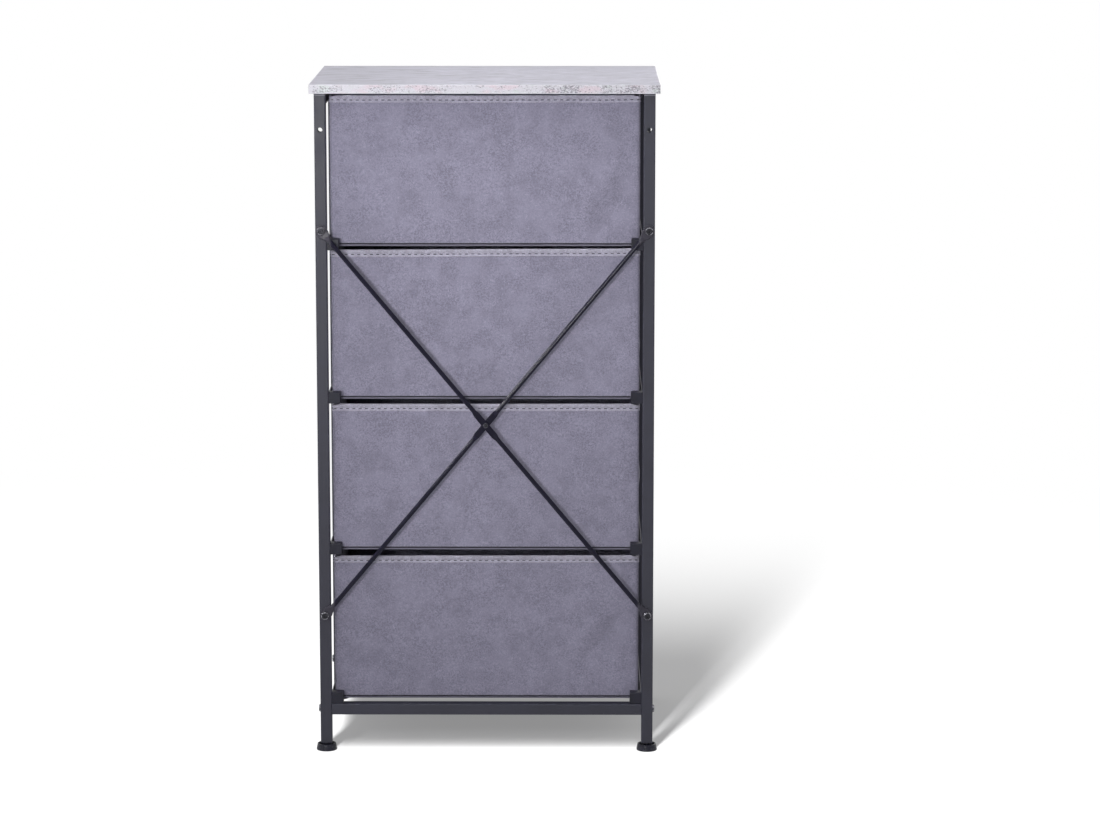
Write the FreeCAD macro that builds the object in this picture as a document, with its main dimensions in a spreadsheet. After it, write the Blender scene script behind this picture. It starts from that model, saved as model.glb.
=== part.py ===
"""Fabric drawer dresser: a narrow steel frame with four fabric drawers and a laminated top.

Millimetres.  The origin is on the floor under the middle of the dresser, +Z is up and the
drawer fronts face -Y.  "Left" (-X) and "right" (+X) are those of a person in front of it.
"""
import FreeCAD
import Part
import Sketcher
import math
import os
import re
from FreeCAD import Placement, Rotation, Vector

DIMENSIONS = (
    # alias, value, what it is
    ("board_width", "450", "top board, left to right"),
    ("board_depth", "300", "top board, front to back"),
    ("board_thick", "12", "top board"),
    ("board_round", "0.8", "rounding of the top board's edges"),
    ("board_underside", "868", "height of the board's underside above the floor"),
    ("frame_width", "438", "over the outer faces of the uprights"),
    ("frame_depth", "288", "over the front and rear faces of the uprights"),
    ("tube_size", "15", "square steel tube"),
    ("tube_wall", "1", "wall of the tube"),
    ("tube_round", "1.4", "outer corner radius of the tube"),
    ("plug_size", "12.8", "square plastic plugs that go into the tube"),
    ("cap_flange", "1.5", "head of the cap in the top of an upright"),
    ("cap_depth", "8", "plug of that cap"),
    ("leg_height", "10", "underside of the leg insert above the floor"),
    ("leg_flange", "1.2", "head of the leg insert"),
    ("leg_depth", "15", "plug of the leg insert"),
    ("crossbar_height", "56", "middle of the two bottom crossbars"),
    ("strap_hole_height", "821", "holes for a wall strap in the rear uprights"),
    ("strap_hole_radius", "3.2", "those holes"),
    ("screw_hole_radius", "3.3", "clearance hole for M6 in the tubes and tabs"),
    ("screw_radius", "3", "M6 shank"),
    ("thread_radius", "3.05", "tapped hole for M6"),
    ("brace_top", "691", "upper brace screws"),
    ("brace_low", "183", "lower brace screws"),
    ("rod_radius", "2.9", "brace rod"),
    ("flat_thick", "2.2", "pressed flats of the rod"),
    ("tab_radius", "7.2", "eyelet end of the rod"),
    ("tab_flat", "6", "full width of the tab, past the screw"),
    ("tab_neck", "16", "from the screw to where the rod is round"),
    ("mid_width", "8.4", "flat in the middle of the rod"),
    ("mid_flat", "18", "half its length"),
    ("mid_neck", "24", "half its length with the two necks"),
    ("rivet_radius", "2", "rivet where the rods cross"),
    ("rivet_head", "3.4", "radius of its heads"),
    ("rivet_dome", "0.8", "height of its heads"),
    ("brace_head_radius", "5.3", "brace screw"),
    ("brace_head_rise", "3", "brace screw"),
    ("brace_shank", "12", "brace screw"),
    ("nut_flats", "10", "weld nut over its flats"),
    ("nut_thick", "5", "weld nut"),
    ("bolt_head_radius", "5", "crossbar bolt"),
    ("bolt_head_rise", "2.3", "crossbar bolt"),
    ("bolt_shank", "28", "crossbar bolt"),
    ("bar_plug_depth", "14", "threaded plug in a crossbar's end"),
    ("socket_radius", "2.3", "hexagon socket of the screws, over its corners"),
    ("socket_depth", "1.6", "hexagon socket"),
    ("wood_head_radius", "3.8", "screw from the side bar into the board"),
    ("wood_head_rise", "2.2", "that screw"),
    ("wood_radius", "1.75", "its shank"),
    ("wood_bite", "9", "how far it goes into the board"),
    ("wood_spacing", "180", "the two screws of one side, front to back"),
    ("wood_hole_radius", "2.2", "its holes in the side bar"),
    ("drawer_base", "67.6", "underside of the lowest drawer"),
    ("drawer_pitch", "200.6", "from one drawer to the next"),
    ("drawer_width", "400", "fabric bin, left to right"),
    ("drawer_rise", "193", "fabric bin"),
    ("drawer_front", "139", "front face of the bin, from the middle"),
    ("drawer_rear", "129.3", "rear face of the bin, from the middle"),
    ("bin_wall", "2.5", "fabric with its lining"),
    ("bin_floor", "1.6", "fabric under the base board"),
    ("bin_round", "4", "upright corners of the bin"),
    ("hem_rise", "10", "folded hem round the rim"),
    ("hem_proud", "0.6", "how far the hem stands out"),
    ("base_board_thick", "3", "hardboard in the bottom of the bin"),
    ("front_board_thick", "2", "stiff board behind the front fabric"),
    ("front_board_rise", "172", "that board"),
    ("board_play", "0.5", "play of the boards in the bin"),
    ("board_side_gap", "3", "from the boards' ends to the bin's outside"),
    ("pull_length", "120", "webbing pull with its sewn ends"),
    ("pull_rise", "25", "width of the webbing"),
    ("pull_thick", "2", "webbing"),
    ("pull_gap", "8.5", "room for the fingers behind it"),
    ("pull_end", "18", "sewn end"),
    ("pull_slope", "12", "where the webbing rises from the front"),
    ("pull_height", "118", "middle of the pull above the drawer's underside"),
    ("rail_thick", "1.2", "steel angle that carries a drawer"),
    ("rail_reach", "13", "its flange under the drawer"),
    ("rail_rise", "11", "its flange beside the drawer, above the drawer's underside"),
    ("rail_play", "0.2", "from the rail to the drawer's underside"),
    ("rail_end", "3", "from the rail's rear end to the rear face of the upright"),
    ("stop_width", "15.4", "plastic block on the rail's end"),
    ("stop_drop", "4", "the block below the drawer's underside"),
    ("stop_play", "0.3", "from the block to the rear of the drawer"),
    ("stop_set", "0.4", "the block's rear face in front of the upright's"),
    ("stop_slot", "0.1", "clearance of the slot that takes the rail"),
    ("stop_round", "1.2", "rounded edges of the block"),
    ("foot_radius", "13.5", "levelling foot at the floor"),
    ("foot_rim", "12.2", "levelling foot at its upper rim"),
    ("foot_rise", "8.5", "levelling foot"),
    ("foot_edge", "1.2", "lower edge of the foot, straight part"),
    ("foot_rim_wall", "1.6", "upper rim"),
    ("foot_recess", "3", "depth of the dish inside the rim"),
    ("foot_hub", "4.8", "hub round the stud"),
    ("foot_floor", "2", "plastic under the stud"),
    ("stud_radius", "2.95", "M6 stud of the foot"),
    ("stud_top", "24", "height of the stud's end above the floor"),
    ("stud_bore", "3", "bore of the leg insert and of the foot's hub"),
)

DRAWERS = (4, 3, 2, 1)          # from the bottom to the top
SIDES = (("left", -1), ("right", 1))
ENDS = (("front", -1), ("rear", 1))

TUBE_BOTTOM = "(leg_height + leg_flange)"
TUBE_TOP = "(board_underside - cap_flange)"
UPRIGHT_X = "(frame_width / 2 - tube_size / 2)"
UPRIGHT_Y = "(frame_depth / 2 - tube_size / 2)"
INNER_X = "(frame_width / 2 - tube_size)"

TO_REAR = Rotation(Vector(1, 0, 0), -90)        # local Z points to +Y
TO_FRONT = Rotation(Vector(1, 0, 0), 90)        # local Z points to -Y
TO_RIGHT = Rotation(Vector(0, 1, 0), 90)        # local Z points to +X
TO_LEFT = Rotation(Vector(0, 1, 0), -90)        # local Z points to -X
UPSIDE_DOWN = Rotation(Vector(1, 0, 0), 180)    # local Z points to -Z
LEVEL = Rotation()

CORNER_FLAT = 0.06      # straight part left between the corner arcs of a round section
NECK_SHARE = 1.3        # thickness of the rod's neck, as a share of the flat's
TINY = 0.01             # for telling edges and volumes apart
HEAD_ROUNDING = 0.6     # rounding of a screw's head, as a share of its rise
RIVET_CROWN = 0.6       # flat crown of a rivet's head, as a share of its radius
OVERRUN = 1             # how far a cutting shape runs past the face that it leaves

doc = FreeCAD.newDocument("fabric_drawer_dresser")
sheet = doc.addObject("Spreadsheet::Sheet", "dims")
for row, (alias, cell_value, note) in enumerate(DIMENSIONS, start=1):
    sheet.set(f"A{row}", alias)
    sheet.set(f"B{row}", cell_value)
    sheet.set(f"C{row}", note)
    sheet.setAlias(f"B{row}", alias)
doc.recompute()

ALIAS = re.compile(r"\b(" + "|".join(name for name, _, _ in DIMENSIONS) + r")\b")
parts = []


# ---------------------------------------------------------------- helpers

def bound(text):
    """An expression over the sheet, from text that names its aliases."""
    return ALIAS.sub(r"dims.\1", text)


def value(text):
    """The number that such an expression gives now."""
    return float(sheet.evalExpression(bound(text)))


def bind(thing, **expressions):
    for name, text in expressions.items():
        thing.setExpression(name, bound(text))


def place(thing, x="0", y="0", z="0", turn=LEVEL):
    """Put an object where three expressions over the sheet say, turned as given."""
    thing.Placement = Placement(Vector(), turn)
    for axis, text in zip("xyz", (x, y, z)):
        thing.setExpression(f"Placement.Base.{axis}", bound(text))


def keep(thing, label):
    """Name an object as one of the sub-parts that are exported."""
    thing.Label = label
    parts.append(thing)
    return thing


def new_body(name):
    return doc.addObject("PartDesign::Body", name)


def new_sketch(body, role="XY_Plane", offset=None):
    sketch = body.newObject("Sketcher::SketchObject", f"{body.Name}_sketch")
    plane = next(item for item in body.Origin.OriginFeatures if item.Role == role)
    sketch.AttachmentSupport = (plane, "")
    sketch.MapMode = "FlatFace"
    if offset:
        sketch.setExpression("AttachmentOffset.Base.z", bound(offset))
    return sketch


def fix_point(sketch, geometry, position, point, name):
    """Hold one point of a sketch at two coordinates bound to the sheet."""
    for kind, text in zip(("DistanceX", "DistanceY"), point):
        index = sketch.addConstraint(Sketcher.Constraint(kind, geometry, position, value(text)))
        label = f"{name}_{kind[-1].lower()}"
        sketch.renameConstraint(index, label)
        sketch.setExpression(f"Constraints.{label}", bound(text))


def add_polygon(sketch, points):
    """A closed outline through points given as pairs of expressions."""
    first = sketch.GeometryCount
    corners = [Vector(value(x), value(y), 0) for x, y in points]
    count = len(corners)
    for index in range(count):
        sketch.addGeometry(Part.LineSegment(corners[index], corners[(index + 1) % count]), False)
    for index in range(count):
        following = first + (index + 1) % count
        sketch.addConstraint(Sketcher.Constraint("Coincident", first + index, 2, following, 1))
    for index, point in enumerate(points):
        fix_point(sketch, first + index, 1, point, f"point{first + index}")


def add_rectangle(sketch, width, height):
    """A rectangle about the sketch's origin."""
    left, right = f"-({width}) / 2", f"({width}) / 2"
    low, high = f"-({height}) / 2", f"({height}) / 2"
    add_polygon(sketch, [(left, low), (right, low), (right, high), (left, high)])


def add_circle(sketch, x, y, radius):
    centre = Vector(value(x), value(y), 0)
    index = sketch.addGeometry(Part.Circle(centre, Vector(0, 0, 1), value(radius)), False)
    fix_point(sketch, index, 3, (x, y), f"circle{index}")
    size = sketch.addConstraint(Sketcher.Constraint("Radius", index, value(radius)))
    sketch.renameConstraint(size, f"radius{index}")
    sketch.setExpression(f"Constraints.radius{index}", bound(radius))


def pad(body, sketch, length, midplane=False):
    feature = body.newObject("PartDesign::Pad", f"{body.Name}_pad")
    feature.Profile = sketch
    feature.Midplane = midplane
    bind(feature, Length=length)
    return feature


def pocket(body, sketch, length=None, reverse=False):
    """Cut a sketch's outline out of a body: through all of it, both ways, or to a depth."""
    doc.recompute()
    before = body.Shape.Volume
    feature = body.newObject("PartDesign::Pocket", f"{body.Name}_pocket")
    feature.Profile = sketch
    feature.Reversed = reverse
    if length:
        bind(feature, Length=length)
    else:
        feature.Type = "ThroughAll"
        feature.Midplane = True
    doc.recompute()
    if feature.Shape.Volume > before - TINY:
        raise RuntimeError(f"{feature.Label} cuts nothing")
    return feature


def revolve(body, sketch):
    """Turn a sketch in the XZ plane about the vertical axis."""
    feature = body.newObject("PartDesign::Revolution", f"{body.Name}_turned")
    feature.Profile = sketch
    feature.ReferenceAxis = (sketch, ["V_Axis"])
    feature.Angle = 360
    return feature


def fillet(body, base, chosen, radius):
    """Round the edges of a feature for which chosen(edge) is true."""
    doc.recompute()
    names = [f"Edge{index}" for index, edge in enumerate(base.Shape.Edges, start=1) if chosen(edge)]
    feature = body.newObject("PartDesign::Fillet", f"{body.Name}_fillet")
    feature.Base = (base, names)
    bind(feature, Radius=radius)
    return feature


def at_corner(half_width, half_depth):
    """A test for the edges that run along Z at the corners of a section."""
    def chosen(edge):
        middle = edge.CenterOfMass
        return abs(abs(middle.x) - half_width) < TINY and abs(abs(middle.y) - half_depth) < TINY
    return chosen


def box(name, width, depth, rise, x="0", y="0", z="0"):
    """A Part::Box whose lowest corner is at x, y, z."""
    thing = doc.addObject("Part::Box", name)
    bind(thing, Length=width, Width=depth, Height=rise)
    place(thing, x, y, z)
    return thing


def cylinder(name, radius, rise, z="0"):
    thing = doc.addObject("Part::Cylinder", name)
    bind(thing, Radius=radius, Height=rise)
    place(thing, z=z)
    return thing


def hexagon(name, corner_radius, rise, z="0"):
    thing = doc.addObject("Part::Prism", name)
    thing.Polygon = 6
    bind(thing, Circumradius=corner_radius, Height=rise)
    place(thing, z=z)
    return thing


def fuse(name, shapes):
    thing = doc.addObject("Part::MultiFuse", name)
    thing.Shapes = shapes
    return thing


def cut(name, base, tool):
    thing = doc.addObject("Part::Cut", name)
    thing.Base = base
    thing.Tool = tool
    return thing


def round_edges(base, radius, chosen):
    """A Part::Fillet on the edges of a shape for which chosen(edge) is true."""
    thing = doc.addObject("Part::Fillet", f"{base.Name}_round")
    thing.Base = base
    thing.Edges = [(index, radius, radius) for index, edge in enumerate(base.Shape.Edges, start=1)
                   if chosen(edge)]
    return thing


def group(label, pattern, places):
    """Copies of one small part as the separate solids of one sub-part."""
    links = []
    for index, (x, y, z, turn) in enumerate(places):
        link = doc.addObject("App::Link", f"{label}_{index + 1}")
        link.LinkedObject = pattern
        place(link, x, y, z, turn)
        links.append(link)
    compound = doc.addObject("Part::Compound", label)
    compound.Links = links
    return keep(compound, label)


# ---------------------------------------------------------------- small parts

def socket_screw(name, head_radius, head_rise, shank_radius, shank_length):
    """A screw along Z: its seat is at z = 0, its head above and its shank below."""
    head = cylinder(f"{name}_head", head_radius, head_rise)
    doc.recompute()
    rise = value(head_rise)
    rounded = round_edges(head, rise * HEAD_ROUNDING,
                          lambda edge: edge.Closed and edge.CenterOfMass.z > rise - TINY)
    shank = cylinder(f"{name}_shank", shank_radius, shank_length, z=f"-({shank_length})")
    socket = hexagon(f"{name}_socket", "socket_radius", f"socket_depth + {OVERRUN}",
                     z=f"{head_rise} - socket_depth")
    return cut(f"{name}_pattern", fuse(f"{name}_blank", [rounded, shank]), socket)


def tube_plug(name, depth, flange=None, bore=None):
    """A square plug along Z that fills a tube below z = 0, with a head above and a bore if given."""
    corner = "-plug_size / 2"
    blank = box(f"{name}_plug", "plug_size", "plug_size", depth, corner, corner, f"-({depth})")
    if flange:
        edge = "-tube_size / 2"
        head = box(f"{name}_head", "tube_size", "tube_size", flange, edge, edge)
        blank = fuse(f"{name}_blank", [blank, head])
    if not bore:
        return blank
    drill = cylinder(f"{name}_drill", bore, f"{depth} + {flange or 0} + 2 * {OVERRUN}",
                     z=f"-({depth}) - {OVERRUN}")
    return cut(f"{name}_pattern", blank, drill)


def corner_places(turns, x, y, z):
    """The four corners of the frame: turns holds the turn for each side."""
    places = []
    for side, sign in SIDES:
        for _, end in ENDS:
            places.append((f"{sign} * {x}", f"{end} * {y}", z, turns[side]))
    return places


# ---------------------------------------------------------------- top board

def make_top_board():
    body = new_body("board")
    outline = new_sketch(body)
    add_rectangle(outline, "board_width", "board_depth")
    pad(body, outline, "board_thick")
    pilots = new_sketch(body)
    for _, side in SIDES:
        for _, end in ENDS:
            add_circle(pilots, f"{side} * {UPRIGHT_X}", f"{end} * wood_spacing / 2", "wood_radius")
    bored = pocket(body, pilots, length="wood_bite", reverse=True)
    half_width, half_depth = value("board_width / 2"), value("board_depth / 2")

    def on_the_rim(edge):
        middle = edge.CenterOfMass
        on_side = abs(abs(middle.x) - half_width) < TINY or abs(abs(middle.y) - half_depth) < TINY
        return on_side and edge.BoundBox.ZLength < TINY

    fillet(body, bored, on_the_rim, "board_round")
    place(body, z="board_underside")
    keep(body, "top_board")


# ---------------------------------------------------------------- frame of tube

def tube_body(name, length):
    """A square tube along Z, from z = 0 up, with rounded outer corners."""
    body = new_body(name)
    section = new_sketch(body)
    add_rectangle(section, "tube_size", "tube_size")
    add_rectangle(section, "tube_size - 2 * tube_wall", "tube_size - 2 * tube_wall")
    wall = pad(body, section, length)
    half = value("tube_size / 2")
    fillet(body, wall, at_corner(half, half), "tube_round")
    return body


def make_uprights():
    for side, side_sign in SIDES:
        for end, end_sign in ENDS:
            body = tube_body(f"upright_{end}_{side}", f"{TUBE_TOP} - {TUBE_BOTTOM}")
            across = new_sketch(body, "YZ_Plane")
            add_circle(across, "0", f"crossbar_height - {TUBE_BOTTOM}", "screw_hole_radius")
            pocket(body, across)
            if end == "rear":
                through = new_sketch(body, "XZ_Plane")
                add_circle(through, "0", f"strap_hole_height - {TUBE_BOTTOM}", "strap_hole_radius")
                pocket(body, through)
                rear_wall = new_sketch(body, "XZ_Plane")
                for height in ("brace_top", "brace_low"):
                    add_circle(rear_wall, "0", f"{height} - {TUBE_BOTTOM}", "screw_hole_radius")
                pocket(body, rear_wall, length="tube_size")
            place(body, f"{side_sign} * {UPRIGHT_X}", f"{end_sign} * {UPRIGHT_Y}", TUBE_BOTTOM)
            keep(body, f"upright_{end}_{side}")


def make_side_top_bars():
    """The bars run from the front upright to the rear one, under the board."""
    for side, sign in SIDES:
        length = "(frame_depth - 2 * tube_size)"
        body = tube_body(f"side_bar_{side}", length)
        holes = new_sketch(body, "XZ_Plane")
        for offset in ("-wood_spacing / 2", "wood_spacing / 2"):
            add_circle(holes, "0", f"{length} / 2 + {offset}", "wood_hole_radius")
        pocket(body, holes)
        place(body, f"{sign} * {UPRIGHT_X}", f"-{length} / 2", "board_underside - tube_size / 2", TO_REAR)
        keep(body, f"side_top_bar_{side}")


def make_crossbars():
    for end, sign in ENDS:
        body = tube_body(f"crossbar_{end}", f"2 * {INNER_X}")
        place(body, f"-{INNER_X}", f"{sign} * {UPRIGHT_Y}", "crossbar_height", TO_RIGHT)
        keep(body, f"crossbar_bottom_{end}")


def make_frame_fittings():
    cap = tube_plug("top_cap", "cap_depth", flange="cap_flange")
    upright = {"left": LEVEL, "right": LEVEL}
    group("upright_top_caps", cap, corner_places(upright, UPRIGHT_X, UPRIGHT_Y, TUBE_TOP))

    insert = tube_plug("leg_insert", "leg_depth", flange="leg_flange", bore="stud_bore")
    inverted = {"left": UPSIDE_DOWN, "right": UPSIDE_DOWN}
    group("leg_inserts", insert, corner_places(inverted, UPRIGHT_X, UPRIGHT_Y, TUBE_BOTTOM))

    outward = {"left": TO_LEFT, "right": TO_RIGHT}
    plug = tube_plug("bar_plug", "bar_plug_depth", bore="thread_radius")
    group("crossbar_end_plugs", plug, corner_places(outward, INNER_X, UPRIGHT_Y, "crossbar_height"))

    bolt = socket_screw("bolt", "bolt_head_radius", "bolt_head_rise", "screw_radius", "bolt_shank")
    group("crossbar_bolts", bolt,
          corner_places(outward, "frame_width / 2", UPRIGHT_Y, "crossbar_height"))

    wood_screw = socket_screw("wood_screw", "wood_head_radius", "wood_head_rise", "wood_radius",
                              "tube_size + wood_bite")
    group("board_screws", wood_screw,
          corner_places(inverted, UPRIGHT_X, "wood_spacing / 2", "board_underside - tube_size"))


# ---------------------------------------------------------------- brace

def rounded_section(along, width, thick, lift):
    """A rounded rectangle across the rod at a distance along it, as a closed wire."""
    corner = thick / 2 - CORNER_FLAT
    flat_y, flat_z = width / 2 - corner, thick / 2 - corner
    edges = []
    centres = ((flat_y, flat_z, 0), (-flat_y, flat_z, 90), (-flat_y, -flat_z, 180), (flat_y, -flat_z, 270))
    arcs = []
    for y, z, start in centres:
        points = []
        for step in (0, 45, 90):
            angle = math.radians(start + step)
            points.append(Vector(along, y + corner * math.cos(angle), lift + z + corner * math.sin(angle)))
        arcs.append(points)
    for index, points in enumerate(arcs):
        following = arcs[(index + 1) % len(arcs)]
        edges.append(Part.Arc(*points).toShape())
        edges.append(Part.LineSegment(points[2], following[0]).toShape())
    return Part.Wire(edges)


def rod_shape(length, side):
    """A rod along X: pressed flat at both ends, with eyelets, and flat in the middle.

    Its lower side stays in one plane from the tab to the round part.  The middle flat is
    set off to one side of the rod's axis, so that two rods cross face to face.
    """
    radius, thick, tab_radius = value("rod_radius"), value("flat_thick"), value("tab_radius")
    axis = radius - thick / 2
    neck_thick = thick * NECK_SHARE
    round_part = (2 * radius, 2 * radius, axis)
    tab = (2 * tab_radius, thick, 0)
    neck = (tab_radius + radius, neck_thick, (neck_thick - thick) / 2)
    middle = (value("mid_width"), thick, axis + side * thick / 2)
    tab_flat, tab_neck = value("tab_flat"), value("tab_neck")
    stations = [(0, tab), (tab_flat, tab), ((tab_flat + tab_neck) / 2, neck), (tab_neck, round_part),
                (length / 2 - value("mid_neck"), round_part), (length / 2 - value("mid_flat"), middle)]
    mirrored = [(length - along, section) for along, section in reversed(stations)]
    wires = [rounded_section(along, *section) for along, section in stations + mirrored]
    rod = Part.makeLoft(wires, True, True)
    for along in (0, length):
        rod = rod.fuse(Part.makeCylinder(tab_radius, thick, Vector(along, 0, -thick / 2)))
    holes = ((0, "screw_hole_radius"), (length / 2, "rivet_radius"), (length, "screw_hole_radius"))
    reach = 4 * radius
    for along, hole_radius in holes:
        rod = rod.cut(Part.makeCylinder(value(hole_radius), reach, Vector(along, 0, -reach / 2)))
    return rod.removeSplitter()


def make_brace():
    """Two rods cross behind the drawers, screwed to the rear faces of the rear uprights."""
    run, rise = value(f"2 * {UPRIGHT_X}"), value("brace_top - brace_low")
    length = math.hypot(run, rise)
    tab_middle = value("frame_depth / 2 + flat_thick / 2")
    for name, side in (("outer", 1), ("inner", -1)):
        rod = doc.addObject("Part::Feature", f"brace_rod_{name}")
        rod.Shape = rod_shape(length, side)
        angle = math.degrees(math.atan2(rise, side * run))
        start = Vector(-side * run / 2, tab_middle, value("brace_low"))
        rod.Placement = Placement(start, Rotation(Vector(0, 1, 0), -angle) * TO_REAR)
        keep(rod, f"brace_rod_{name}")

    screw_places, nut_places = [], []
    for _, sign in SIDES:
        for height in ("brace_low", "brace_top"):
            x = f"{sign} * {UPRIGHT_X}"
            screw_places.append((x, "frame_depth / 2 + flat_thick", height, TO_REAR))
            nut_places.append((x, "frame_depth / 2 - tube_wall", height, TO_FRONT))
    screw = socket_screw("brace_screw", "brace_head_radius", "brace_head_rise", "screw_radius",
                         "brace_shank")
    group("brace_screws", screw, screw_places)
    nut_blank = hexagon("nut_blank", "nut_flats / sqrt(3)", "nut_thick")
    nut = cut("nut_pattern", nut_blank, cylinder("nut_bore", "thread_radius", "2 * nut_thick"))
    group("brace_weld_nuts", nut, nut_places)
    make_rivet()


def make_rivet():
    body = new_body("rivet")
    profile = new_sketch(body, "XZ_Plane")
    crown = f"rivet_head * {RIVET_CROWN}"
    add_polygon(profile, [
        ("0", "-flat_thick - rivet_dome"), (crown, "-flat_thick - rivet_dome"),
        ("rivet_head", "-flat_thick - rivet_dome / 3"), ("rivet_head", "-flat_thick"),
        ("rivet_radius", "-flat_thick"), ("rivet_radius", "flat_thick"),
        ("rivet_head", "flat_thick"), ("rivet_head", "flat_thick + rivet_dome / 3"),
        (crown, "flat_thick + rivet_dome"), ("0", "flat_thick + rivet_dome")])
    revolve(body, profile)
    place(body, "0", "frame_depth / 2 + rod_radius", "(brace_top + brace_low) / 2", TO_REAR)
    keep(body, "brace_centre_rivet")


# ---------------------------------------------------------------- rails and stops

def drawer_height(level):
    """The underside of a drawer, with level 0 the lowest."""
    return f"(drawer_base + {level} * drawer_pitch)"


def make_rail(name, sign, level):
    """A steel angle: one flange on the uprights' inner faces, one under the drawer."""
    body = new_body(name)
    section = new_sketch(body, "XZ_Plane")
    top, under = "rail_rise", "-rail_play - rail_thick"
    add_polygon(section, [
        ("0", under), (f"{-sign} * rail_reach", under), (f"{-sign} * rail_reach", "-rail_play"),
        (f"{-sign} * rail_thick", "-rail_play"), (f"{-sign} * rail_thick", top), ("0", top)])
    length = "(frame_depth - rail_end)"
    pad(body, section, length)
    doc.recompute()
    toward_rear = body.Shape.BoundBox.YMax > TINY
    start = "-frame_depth / 2" if toward_rear else "frame_depth / 2 - rail_end"
    place(body, f"{sign} * {INNER_X}", start, drawer_height(level))
    keep(body, name)


def make_stop(name, sign, level):
    """A plastic block that the rail's rear end goes into; it keeps the drawer from going through."""
    depth = "(frame_depth / 2 - stop_set - drawer_rear - stop_play)"
    front = "(drawer_rear + stop_play)"
    inner = f"{INNER_X} - stop_width" if sign > 0 else f"-{INNER_X}"
    block = box(f"{name}_block", "stop_width", depth, "stop_drop + rail_rise", inner, front, "-stop_drop")
    doc.recompute()
    inner_x = sign * (value(INNER_X) - value("stop_width"))
    rear_y = value("frame_depth / 2 - stop_set")

    def is_free(edge):
        middle = edge.CenterOfMass
        on_inner = abs(middle.x - inner_x) < TINY
        on_rear = abs(middle.y - rear_y) < TINY
        on_upright = abs(middle.x - sign * value(INNER_X)) < TINY
        return (on_inner or on_rear) and not on_upright

    rounded = round_edges(block, value("stop_round"), is_free)
    slot_depth = f"{depth} + stop_set - rail_end + stop_slot"
    wide, thin = "rail_reach + stop_slot", "rail_thick + stop_slot"
    wide_x = f"{INNER_X} - ({wide})" if sign > 0 else f"-{INNER_X}"
    thin_x = f"{INNER_X} - ({thin})" if sign > 0 else f"-{INNER_X}"
    under = box(f"{name}_under", wide, slot_depth, "rail_thick + 2 * stop_slot", wide_x, front,
                "-rail_play - rail_thick - stop_slot")
    beside = box(f"{name}_beside", thin, slot_depth, "rail_rise + rail_play + rail_thick + stop_slot",
                 thin_x, front, "-rail_play - rail_thick - stop_slot")
    stop = cut(name, rounded, fuse(f"{name}_slot", [under, beside]))
    place(stop, z=drawer_height(level))
    keep(stop, name)


# ---------------------------------------------------------------- drawers

def make_bin(number, level):
    """A fabric box, open at the top, with a folded hem round its rim."""
    body = new_body(f"bin_{number}")
    depth = "(drawer_front + drawer_rear)"
    outline = new_sketch(body)
    add_rectangle(outline, "drawer_width", depth)
    walls = pad(body, outline, "drawer_rise")
    fillet(body, walls, at_corner(value("drawer_width / 2"), value(f"{depth} / 2")), "bin_round")
    hem = new_sketch(body, offset="drawer_rise - hem_rise")
    add_rectangle(hem, "drawer_width + 2 * hem_proud", f"{depth} + 2 * hem_proud")
    band = pad(body, hem, "hem_rise")
    half_width, half_depth = value("drawer_width / 2 + hem_proud"), value(f"{depth} / 2 + hem_proud")
    fillet(body, band, at_corner(half_width, half_depth), "bin_round")
    inside = new_sketch(body, offset="drawer_rise")
    add_rectangle(inside, "drawer_width - 2 * bin_wall", f"{depth} - 2 * bin_wall")
    pocket(body, inside, length="drawer_rise - bin_floor")
    place(body, "0", "(drawer_rear - drawer_front) / 2", drawer_height(level))
    keep(body, f"drawer_{number}_bin")


def plate_body(name, width, depth, thick):
    body = new_body(name)
    outline = new_sketch(body)
    add_rectangle(outline, width, depth)
    plate = pad(body, outline, thick)
    fillet(body, plate, at_corner(value(width) / 2, value(depth) / 2), "board_play * 2")
    return body


def make_drawer_boards(number, level):
    width = "(drawer_width - 2 * bin_wall - 2 * board_side_gap)"
    base_depth = "(drawer_front + drawer_rear - 2 * bin_wall - front_board_thick - 3 * board_play)"
    base = plate_body(f"base_board_{number}", width, base_depth, "base_board_thick")
    base_y = f"drawer_rear - bin_wall - board_play - {base_depth} / 2"
    place(base, "0", base_y, f"{drawer_height(level)} + bin_floor")
    keep(base, f"drawer_{number}_base_board")

    front = plate_body(f"front_board_{number}", width, "front_board_rise", "front_board_thick")
    front_y = "-drawer_front + bin_wall + board_play"
    front_z = f"{drawer_height(level)} + bin_floor + board_play + front_board_rise / 2"
    place(front, "0", front_y, front_z, TO_REAR)
    keep(front, f"drawer_{number}_front_board")


def make_pull(number, level):
    """A strap of webbing, sewn flat at both ends and standing off between them."""
    body = new_body(f"pull_{number}")
    section = new_sketch(body)
    end, foot = "pull_length / 2", "(pull_length / 2 - pull_end)"
    arch = "(pull_length / 2 - pull_end - pull_slope)"
    outer, inner = "-(pull_gap + pull_thick)", "-pull_gap"
    add_polygon(section, [
        (f"-{end}", "0"), (f"-{end}", "-pull_thick"), (f"-{foot}", "-pull_thick"),
        (f"-{arch}", outer), (arch, outer), (foot, "-pull_thick"), (end, "-pull_thick"), (end, "0"),
        (f"{foot} - pull_thick / 2", "0"), (f"{arch} - pull_thick / 2", inner),
        (f"-({arch} - pull_thick / 2)", inner), (f"-({foot} - pull_thick / 2)", "0")])
    strap = pad(body, section, "pull_rise", midplane=True)
    far = value(foot) + TINY
    fillet(body, strap, lambda edge: edge.BoundBox.ZLength > 1 and abs(edge.CenterOfMass.x) < far
           and abs(edge.CenterOfMass.y) > TINY, "pull_thick")
    place(body, "0", "-drawer_front", f"{drawer_height(level)} + pull_height")
    keep(body, f"drawer_{number}_pull")


# ---------------------------------------------------------------- levelling feet

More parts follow.
